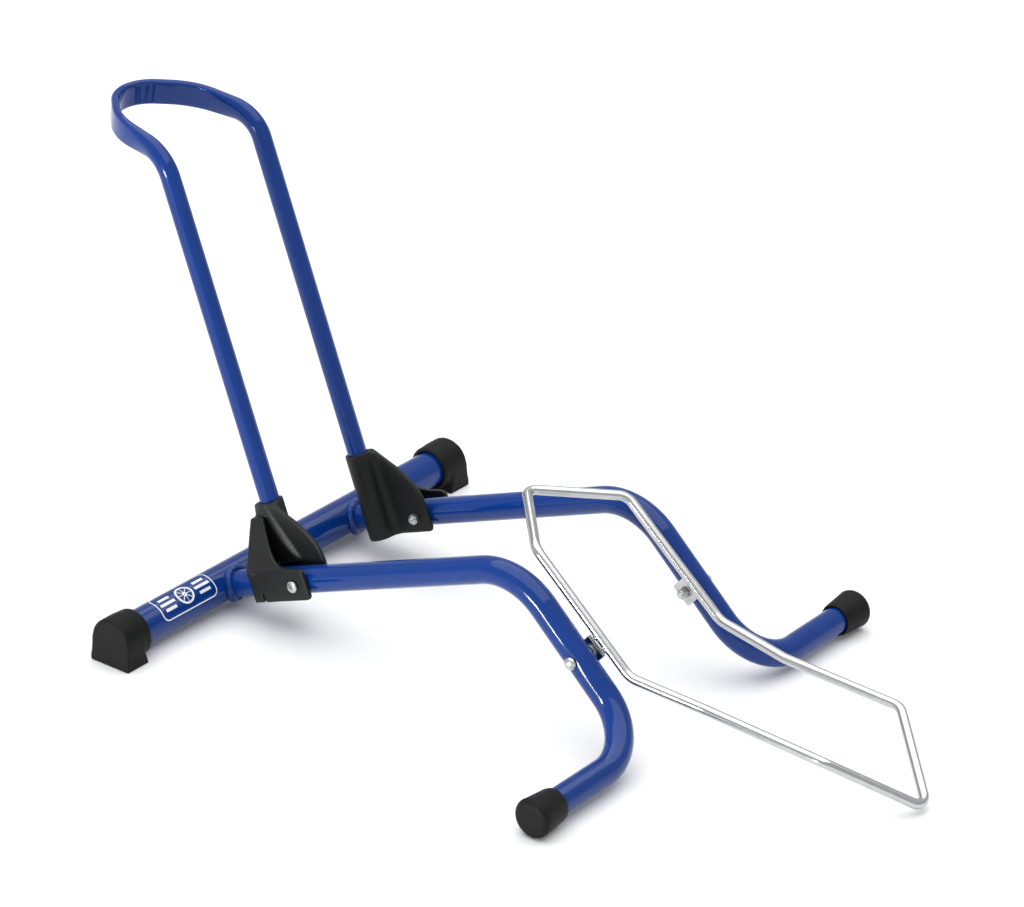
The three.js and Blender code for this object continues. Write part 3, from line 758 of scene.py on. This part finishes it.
def front_cap(side, sign):
    """A hollow cap: a rolled lip, sides that widen a little, and a barely domed end."""
    low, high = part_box(f"front_cap_{side}")
    lip_r = CAP_BORE_R + CAP_LIP_R + 0.15
    bottom = CAP_END_Y - CAP_SKIN
    profile = [(0, bottom), (CAP_BORE_R, bottom), (CAP_BORE_R, CAP_RIM_Y + 0.4)]
    profile += arc(lip_r, CAP_RIM_Y + CAP_LIP_R, CAP_LIP_R, 180, 300, 6)
    profile += [(CAP_NECK_R, CAP_RIM_Y + 3), (CAP_FLANK_R, CAP_END_Y - 8)]
    profile += arc(CAP_END_R - CAP_EDGE_R, CAP_END_Y - CAP_CROWN - CAP_EDGE_R, CAP_EDGE_R, 0, 82, 12)
    profile += [(7, CAP_END_Y - CAP_CROWN / 2), (3, CAP_END_Y - CAP_CROWN / 10), (0, CAP_END_Y)]
    centre = in_mid_plane((low + high) / 2)
    cap = lathe(f"front_cap_{side}_rubber", profile, centre, Y_AXIS * sign, 72)
    return finish_piece(cap, RUBBER, "frame", f"front_cap_{side}")


# ---- Fasteners -------------------------------------------------------------

SCREW_R, SCREW_PITCH = 2.5, 0.8
THREAD_TURNS, THREAD_LENGTH = 10, 9.4
PAN_R, PAN_HEIGHT, PAN_EDGE_R = 4.9, 3.0, 1.6
RECESS_REACH, RECESS_HALF_WIDTH, RECESS_DEPTH = 2.6, 0.55, 1.7
RECESS_TURN, RECESS_FLOOR_SHARE, RECESS_MOUTH_SHARE = 28, 0.55, 1.08
DOME_R, DOME_HEIGHT, DOME_RISE = 5.3, 3.9, 3.1
NUT_FLATS, NUT_BORE_R, NUT_COLLAR = 8.0, 2.7, 1.4
COLLAR_R, COLLAR_EDGE_R = 0.45 * NUT_FLATS, 0.7
WASHER_BORE_R, WASHER_R, WASHER_EDGE = 2.8, 6.0, 0.25


def threaded_shank(end, head):
    """A screw's profile from its chamfered end to the underside of its head."""
    root = SCREW_R - 0.45 * SCREW_PITCH
    profile = [(0, end), (1.9, end), (2.4, end + 0.5)]
    for i in range(THREAD_TURNS):
        h = end + 0.6 + i * SCREW_PITCH
        profile += [(SCREW_R, h + 0.1 * SCREW_PITCH), (SCREW_R, h + 0.3 * SCREW_PITCH)]
        profile += [(root, h + 0.6 * SCREW_PITCH), (root, h + 0.7 * SCREW_PITCH)]
    return [*profile, (SCREW_R, end + THREAD_LENGTH), (SCREW_R, head)]


def cross_recess(obj, centre, axis):
    """Cuts a cross-shaped recess, narrower at its floor, into a screw head."""
    turn = Z_AXIS.rotation_difference(axis)
    corners = ((-1, -1), (1, -1), (1, 1), (-1, 1))
    for k in range(2):
        spin = Quaternion((0, 0, 1), math.radians(RECESS_TURN + 90 * k))
        verts = []
        for z, size in ((-RECESS_DEPTH, RECESS_FLOOR_SHARE), (1.5, RECESS_MOUTH_SHARE)):
            for x, y in corners:
                local = Vector((x * RECESS_REACH * size, y * RECESS_HALF_WIDTH * size, z)) * MM
                verts.append(centre + turn @ (spin @ local))
        faces = [[0, 3, 2, 1], [4, 5, 6, 7], [0, 1, 5, 4], [1, 2, 6, 5], [2, 3, 7, 6], [3, 0, 4, 7]]
        cut(obj, new_object("recess", verts, faces, smooth=False))


def bracket_bolt(side, sign):
    """A pan-head screw: its head is outside, its threaded end past the nut inside."""
    end, top = inner_and_outer(f"bracket_bolt_{side}")
    head = top - PAN_HEIGHT
    profile = threaded_shank(end, head)
    profile += [(PAN_R - 0.3, head), (PAN_R, head + 0.3), (PAN_R, head + 1.3)]
    profile += [*arc(PAN_R - PAN_EDGE_R, head + 1.35, PAN_EDGE_R, 0, 78, 7), (0, top)]
    centre = in_mid_plane(HOOP_PIVOT)
    screw = lathe(f"bracket_bolt_{side}_pan_head", profile, centre, Y_AXIS * sign, 56)
    cross_recess(screw, centre + Y_AXIS * sign * top * MM, Y_AXIS * sign)
    sharp_edges(screw, 32)
    return finish_piece(screw, ZINC, "frame", f"bracket_bolt_{side}")


def cradle_bolt(side, sign):
    """A dome-head bolt through the side tube, the washer and the lug."""
    end, top = inner_and_outer(f"cradle_bolt_{side}")
    head = top - DOME_HEIGHT
    profile = threaded_shank(end, head)
    profile += [(DOME_R - 0.2, head), (DOME_R, head + 0.25), (DOME_R, head + 0.7)]
    sphere = (DOME_R**2 + DOME_RISE**2) / (2 * DOME_RISE)
    for k in range(1, 11):
        r = DOME_R * (1 - k / 10)
        profile.append((r, top - sphere + math.sqrt(sphere**2 - r**2)))
    screw = lathe(f"cradle_bolt_{side}_dome_head", profile, in_mid_plane(CRADLE_PIVOT), Y_AXIS * sign, 56)
    return finish_piece(screw, ZINC, "frame", f"cradle_bolt_{side}")


def hexagon(name, start, end, centre, axis, spin):
    """A nut's hexagon with a bore, its corners chamfered at both faces."""
    turn = Z_AXIS.rotation_difference(axis)
    around = 48
    flat = NUT_FLATS / 2
    columns = []
    for k in range(around):
        a = 2 * math.pi * k / around
        side = flat / math.cos((a % (math.pi / 3)) - math.pi / 6)
        chamfer = 0.15 + (side - flat) * 0.55
        pairs = [(NUT_BORE_R, start), (flat - 0.2, start), (side, start + chamfer)]
        pairs += [(side, end - chamfer), (flat - 0.2, end), (NUT_BORE_R, end)]
        column = [Vector((r * math.cos(a + spin), r * math.sin(a + spin), h)) * MM for r, h in pairs]
        columns.append([centre + turn @ local for local in column])
    verts = [v for ring in zip(*columns) for v in ring]
    return sharp_edges(new_object(name, verts, ring_faces(len(columns[0]), around, closed=True)), 28)


def lock_nut(node, pivot, sign, spin):
    """A hexagon, and the round collar that holds the nut's locking ring."""
    inner, outer = inner_and_outer(node)
    hex_start = inner + NUT_COLLAR
    centre, axis = in_mid_plane(pivot), Y_AXIS * sign
    finish_piece(hexagon(f"{node}_hex", hex_start, outer, centre, axis, spin), ZINC, "frame", node)
    r, edge = COLLAR_R, COLLAR_EDGE_R
    profile = [(NUT_BORE_R, hex_start + 0.6), (r, hex_start + 0.6), (r, inner + edge)]
    profile += arc(r - edge, inner + edge, edge, 0, -90, 5)
    profile += [(r - 1.0, inner), (r - 1.0, inner + 0.25), (NUT_BORE_R, inner + 0.25)]
    collar = ring_lathe(f"{node}_hex_collar", profile, centre, axis)
    return finish_piece(collar, ZINC, "frame")


def washer(side, sign):
    inner, outer = inner_and_outer(f"cradle_washer_{side}")
    bore, rim, e = WASHER_BORE_R, WASHER_R, WASHER_EDGE
    profile = [(bore, inner + e), (bore + e, inner), (rim - e, inner), (rim, inner + e)]
    profile += [(rim, outer - e), (rim - e, outer), (bore + e, outer), (bore, outer - e)]
    ring = ring_lathe(f"cradle_washer_{side}_ring", profile, in_mid_plane(CRADLE_PIVOT), Y_AXIS * sign)
    return finish_piece(ring, ZINC, "frame", f"cradle_washer_{side}")


# ---- Decal -----------------------------------------------------------------

DECAL_Y = -129.5
DECAL_LENGTH, DECAL_HEIGHT = 62.0, 27.0
DECAL_ANGLE = math.radians(62)
DECAL_LIFT = 0.05
DECAL_THICKNESS = 0.05
DECAL_CORNER_R, DECAL_BORDER = 6.0, 1.0
RIM_R, RIM_INNER_R = 8.6, 6.9
HUB_R, HUB_INNER_R = 2.1, 0.6
SPOKES, SPOKE_FROM, SPOKE_TO, SPOKE_HALF = 8, 2.3, 6.7, 0.28
# The plain bars: where each group lies along the crossbar, and each row's place and half length.
BAR_GROUPS = (-19.5, 19.5)
BAR_ROWS = ((5.2, 6.0), (0, 8.0), (-5.2, 6.0))
BAR_HALF = 1.25


def on_bar(s, y, lift):
    """A point of the flat decal wrapped on the crossbar: s runs round it, y along it."""
    a = DECAL_ANGLE + s / CROSSBAR_R
    r = CROSSBAR_R + lift
    return at(r * math.cos(a), DECAL_Y + y, CROSSBAR_Z + r * math.sin(a))


def wrapped_strip(outer, inner):
    """A thin closed strip between two loops of as many points."""
    n = len(outer)
    verts, faces = [], []
    for lift in (DECAL_LIFT, DECAL_LIFT + DECAL_THICKNESS):
        for loop in (outer, inner):
            verts += [on_bar(s, y, lift) for y, s in loop]
    for i in range(n):
        j = (i + 1) % n
        faces.append([i, j, n + j, n + i])
        faces.append([2 * n + i, 3 * n + i, 3 * n + j, 2 * n + j])
        faces.append([i, 2 * n + i, 2 * n + j, j])
        faces.append([n + i, n + j, 3 * n + j, 3 * n + i])
    return new_object("strip", verts, faces)


def filled_patch(loop, hole):
    """A strip whose inner loop is the outer one, scaled to this tiny share: it looks filled."""
    cy = sum(p[0] for p in loop) / len(loop)
    cs = sum(p[1] for p in loop) / len(loop)
    return wrapped_strip(loop, [(cy + (y - cy) * hole, cs + (s - cs) * hole) for y, s in loop])


def divided(p, q, steps):
    """Points from p up to, but not with, q."""
    return [(p[0] + (q[0] - p[0]) * k / steps, p[1] + (q[1] - p[1]) * k / steps) for k in range(steps)]


def rounded_loop(inset):
    """The decal's outline, moved inwards. Its straight runs are divided to follow the tube."""
    r = DECAL_CORNER_R - inset
    y, s = DECAL_LENGTH / 2 - inset - r, DECAL_HEIGHT / 2 - inset - r
    centres = [(y, s), (-y, s), (-y, -s), (y, -s)]
    corners = [arc(cy, cs, r, 90 * i, 90 * i + 90, 10) for i, (cy, cs) in enumerate(centres)]
    loop = []
    for i, corner in enumerate(corners):
        loop += corner[:-1] + divided(corner[-1], corners[(i + 1) % 4][0], 12)
    return loop


def ring_loop(radius):
    turns = [2 * math.pi * k / 64 for k in range(64)]
    return [(radius * math.cos(t), radius * math.sin(t)) for t in turns]


def bar_loop(cy, cs, half_length):
    y, s = half_length, BAR_HALF
    corners = [(cy - y, cs - s), (cy + y, cs - s), (cy + y, cs + s), (cy - y, cs + s)]
    return [p for i in range(4) for p in divided(corners[i], corners[(i + 1) % 4], 6)]


def spoke_loop(a):
    corners = ((SPOKE_FROM, -1), (SPOKE_TO, -1), (SPOKE_TO, 1), (SPOKE_FROM, 1))
    along, across = (math.cos(a), math.sin(a)), (-math.sin(a), math.cos(a))
    return [tuple(r * along[n] + w * SPOKE_HALF * across[n] for n in range(2)) for r, w in corners]


def decal():
    """A plain sticker: a rounded frame round a simple wheel between plain bars."""
    parts = [wrapped_strip(rounded_loop(0), rounded_loop(DECAL_BORDER))]
    parts.append(wrapped_strip(ring_loop(RIM_R), ring_loop(RIM_INNER_R)))
    parts.append(wrapped_strip(ring_loop(HUB_R), ring_loop(HUB_INNER_R)))
    parts += [filled_patch(spoke_loop(2 * math.pi * k / SPOKES), hole=0.02) for k in range(SPOKES)]
    for cy in BAR_GROUPS:
        parts += [filled_patch(bar_loop(cy, cs, half), hole=0.03) for cs, half in BAR_ROWS]
    sticker = sharp_edges(joined("crossbar_decal", parts), 30)
    return finish_piece(sticker, FILM, "frame")


# ---- Studio ----------------------------------------------------------------

# Places and sizes in metres, power in watts.
SKY_COLOUR, SKY_STRENGTH = (0.97, 0.985, 1.0, 1), 0.62
FLOOR_HALF, FLOOR_DROP = 14.0, 0.0002
OVERHEAD = {"place": (-0.3, 0.6, 4.0), "target": (-0.3, 0.6, 0), "size": (6.5, 6.5), "power": 235}
KEY_PANEL = {
    "place": (-0.99, -7.9, 0.5),
    "target": (0.05, -0.05, 0.1),
    "size": (1.75, 0.98),
    "power": 400,
}

CAMERA_AZIMUTH, CAMERA_ELEVATION = math.radians(38.5), math.radians(26.2)
CAMERA_PLACE = Vector((CROSSBAR_X + 2.0530, -2.2879, 1.6136))
CAMERA_LENS, CAMERA_SENSOR = 150, 36


def area_light(name, place, target, size, power):
    data = bpy.data.lights.new(name, "AREA")
    data.energy = power
    data.shape = "RECTANGLE"
    data.size, data.size_y = size
    light = bpy.data.objects.new(name, data)
    light.location = place
    light.rotation_euler = (Vector(target) - Vector(place)).to_track_quat("-Z", "Y").to_euler()
    bpy.context.scene.collection.objects.link(light)


def studio():
    world = bpy.data.worlds.new("studio")
    bpy.context.scene.world = world
    world.use_nodes = True
    background = world.node_tree.nodes["Background"]
    background.inputs["Color"].default_value = SKY_COLOUR
    background.inputs["Strength"].default_value = SKY_STRENGTH
    s = FLOOR_HALF
    mesh = bpy.data.meshes.new("floor")
    mesh.from_pydata([(-s, -s, 0), (s, -s, 0), (s, s, 0), (-s, s, 0)], [], [(0, 1, 2, 3)])
    mesh.materials.append(pale_floor())
    floor = bpy.data.objects.new("floor", mesh)
    floor.location.z = -FLOOR_DROP
    bpy.context.scene.collection.objects.link(floor)
    area_light("overhead", **OVERHEAD)
    area_light("key_panel", **KEY_PANEL)


def camera():
    """The camera stands well back with a long lens, at the photograph's angle."""
    level = math.cos(CAMERA_ELEVATION)
    back = Vector((
        math.sin(CAMERA_AZIMUTH) * level,
        -math.cos(CAMERA_AZIMUTH) * level,
        math.sin(CAMERA_ELEVATION),
    ))
    data = bpy.data.cameras.new("camera")
    data.sensor_width = CAMERA_SENSOR
    data.lens = CAMERA_LENS
    data.clip_start, data.clip_end = 0.05, 60
    cam = bpy.data.objects.new("camera", data)
    cam.location = CAMERA_PLACE
    cam.rotation_mode = "QUATERNION"
    cam.rotation_quaternion = (-back).to_track_quat("-Z", "Y")
    bpy.context.scene.collection.objects.link(cam)
    bpy.context.scene.camera = cam


# ---- Scene -----------------------------------------------------------------

crossbar()
hoop()
cradle_wire()
decal()
for side, sign in SIDES.items():
    side_tube(side, sign)
    weld_bead(side, sign)
    rear_foot(side)
    front_cap(side, sign)
    hoop_bracket(side)
    cradle_tab(side, sign)
    tab_welds(side, sign)
    bracket_bolt(side, sign)
    cradle_bolt(side, sign)
    lock_nut(f"bracket_nut_{side}", HOOP_PIVOT, sign, spin=0.2)
    lock_nut(f"cradle_nut_{side}", CRADLE_PIVOT, sign, spin=0.45)
    washer(side, sign)

studio()
camera()
bpy.context.scene.view_settings.view_transform = "Standard"
